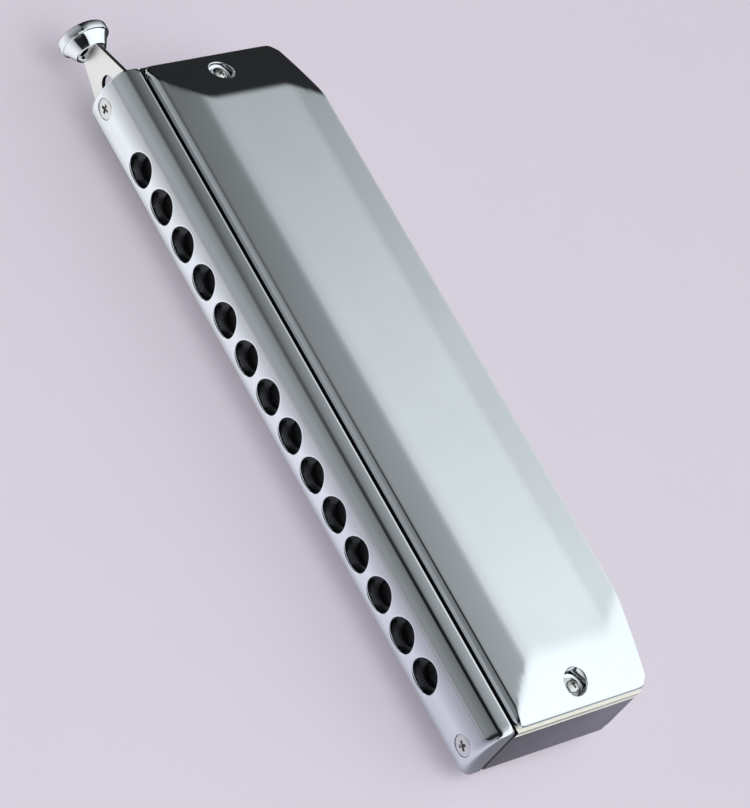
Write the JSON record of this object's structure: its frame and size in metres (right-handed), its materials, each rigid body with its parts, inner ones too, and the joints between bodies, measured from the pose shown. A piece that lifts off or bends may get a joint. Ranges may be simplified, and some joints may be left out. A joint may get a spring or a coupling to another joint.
{
  "type": "chromatic harmonica",
  "caption": "Chromatic harmonica: chromed mouthpiece and cover plates on a resin comb with valved reed plates, and a sprung slide pushed in by a round button at one end",
  "frame": {"origin": "the middle of the row of mouth holes, on the front of the mouthpiece", "axes": "X runs along the harmonica with the button at -X, Y runs from the mouthpiece to the open backs, Z points out of the upper cover"},
  "size_m": [0.1722, 0.0418, 0.0282],
  "materials": {
    "chrome": "polished bright plating",
    "screw_steel": "nickel-plated cross-head screws",
    "black_resin": "smooth black resin",
    "slide_plating": "bright plating on flat blade",
    "guide_steel": "plain rolled sheet",
    "sleeve_plastic": "smooth white plastic",
    "spring_steel": "drawn wire",
    "comb_resin": "moulded dark grey resin",
    "gasket_cream": "soft cream sheet",
    "plate_brass": "pale rolled brass",
    "reed_brass": "lengthwise milled",
    "rivet_brass": "pressed heads",
    "valve_film": "thin translucent film"
  },
  "bodies": {
    "harmonica": {"mouthpiece": "chrome", "mouthpiece_screws": "screw_steel", "front_guide_plate": "black_resin", "rear_guide_plate": "guide_steel", "screw_sleeves": "sleeve_plastic", "slide_spring": "spring_steel", "comb": "comb_resin", "upper_gasket": "gasket_cream", "lower_gasket": "gasket_cream", "upper_reed_plate": "plate_brass", "lower_reed_plate": "plate_brass", "upper_draw_reeds": "reed_brass", "upper_blow_reeds": "reed_brass", "lower_draw_reeds": "reed_brass", "lower_blow_reeds": "reed_brass", "upper_draw_rivets": "rivet_brass", "upper_blow_rivets": "rivet_brass", "lower_draw_rivets": "rivet_brass", "lower_blow_rivets": "rivet_brass", "upper_outer_valves": "valve_film", "upper_inner_valves": "valve_film", "lower_outer_valves": "valve_film", "lower_inner_valves": "valve_film", "upper_plate_screws": "screw_steel", "lower_plate_screws": "screw_steel", "upper_cover": "chrome", "lower_cover": "chrome", "upper_cover_screws": "screw_steel", "lower_cover_screws": "screw_steel"},
    "pressed_slide": {"slide": "slide_plating", "button": "chrome"}
  },
  "joints": [
    {"name": "slide_press", "type": "slide", "parent": "harmonica", "child": "pressed_slide", "axis": [1, 0, 0], "range_m": [0, 0.0046], "stiffness_N_per_m": 300, "springref_m": -0.003, "deforming": ["slide_spring"]}
  ]
}
